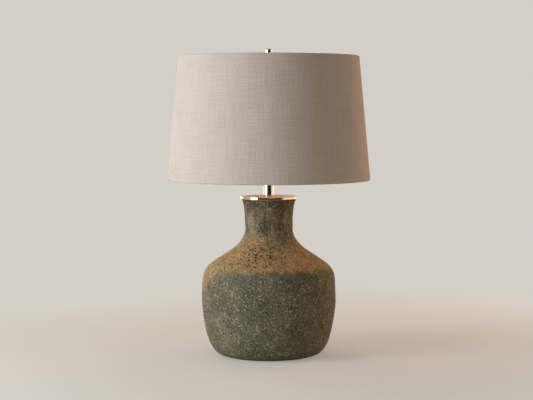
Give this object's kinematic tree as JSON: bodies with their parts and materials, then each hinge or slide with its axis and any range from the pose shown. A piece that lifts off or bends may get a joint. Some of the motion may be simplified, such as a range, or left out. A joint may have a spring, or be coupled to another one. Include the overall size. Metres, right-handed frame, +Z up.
{
  "type": "bottle table lamp",
  "caption": "Table lamp with a broad matte-glazed ceramic bottle, polished cap disc and neck tube, wire harp, turn-knob socket and tapered linen drum shade held by a finial.",
  "frame": {"origin": "on the table, under the middle of the felt pad", "axes": "+Z up, through the lamp pipe; -Y to the front, where the switch knob points; the cord gland is at +Y"},
  "size_m": [0.4571, 0.4572, 0.6905],
  "materials": {
    "glaze": "rough matte glaze",
    "felt": "wool felt",
    "gland_rubber": "matte",
    "zinc_steel": "zinc plated",
    "nickel": "polished nickel plate",
    "socket_brass": "brushed",
    "contact_brass": "plain",
    "plug_plastic": "moulded",
    "phenolic": "moulded",
    "knob_plastic": "moulded",
    "liner_paper": "fibre board",
    "bulb_cap_metal": "satin",
    "bulb_black_glass": "opaque glass",
    "bulb_glass": "frosted",
    "linen": "woven linen",
    "styrene": "white sheet"
  },
  "bodies": {
    "base": {"felt_pad": "felt", "bottle": "glaze", "cord_gland": "gland_rubber", "check_plate": "zinc_steel", "bottom_lock_washer": "zinc_steel", "bottom_nut": "zinc_steel", "lamp_pipe": "zinc_steel", "neck_plug": "plug_plastic", "cap_disc": "nickel", "neck_tube": "nickel", "tube_cap": "nickel", "harp_saddle": "nickel", "saddle_nut": "zinc_steel", "socket_cap": "socket_brass", "socket_set_screw": "zinc_steel", "socket_shell": "socket_brass", "socket_liner": "liner_paper", "switch_body": "phenolic", "terminal_screws": "contact_brass", "screw_shell": "contact_brass", "centre_contact": "contact_brass"},
    "switch_knob": {"switch_shaft": "contact_brass", "switch_knob": "knob_plastic"},
    "bulb": {"bulb_glass": "bulb_glass", "bulb_cap": "bulb_cap_metal", "bulb_insulator": "bulb_black_glass", "bulb_button": "contact_brass"},
    "harp": {"harp_loop": "nickel"},
    "ferrule_left": {"ferrule_left": "nickel"},
    "ferrule_right": {"ferrule_right": "nickel"},
    "harp_stud": {"harp_stud": "nickel"},
    "shade": {"fitter_washer": "nickel", "spider_arm_1": "nickel", "spider_arm_2": "nickel", "spider_arm_3": "nickel", "shade_top_ring": "nickel", "shade_bottom_ring": "nickel", "shade_liner": "styrene", "shade_cover": "linen"},
    "finial": {"finial": "nickel"}
  },
  "joints": [
    {"name": "switch_turn", "type": "hinge", "parent": "base", "child": "switch_knob", "pos_m": [0, -0.0275, 0.46575], "axis": [0, -1, 0], "continuous": true},
    {"name": "bulb_out", "type": "slide", "parent": "base", "child": "bulb", "axis": [0, 0, 1], "range_m": [0, 0.03]},
    {"name": "harp_lift", "type": "slide", "parent": "base", "child": "harp", "axis": [0, 0, 1], "range_m": [0, 0.03]},
    {"name": "ferrule_left_slide", "type": "slide", "parent": "harp", "child": "ferrule_left", "axis": [0, 0, 1], "range_m": [0, 0.0125]},
    {"name": "ferrule_right_slide", "type": "slide", "parent": "harp", "child": "ferrule_right", "axis": [0, 0, 1], "range_m": [0, 0.0125]},
    {"name": "shade_swivel", "type": "hinge", "parent": "harp", "child": "harp_stud", "pos_m": [0, 0, 0.6599], "axis": [0, 0, 1], "continuous": true},
    {"name": "shade_lift", "type": "slide", "parent": "harp_stud", "child": "shade", "axis": [0, 0, 1], "range_m": [0, 0.29]},
    {"name": "finial_off", "type": "slide", "parent": "shade", "child": "finial", "axis": [0, 0, 1], "range_m": [0, 0.03]}
  ]
}
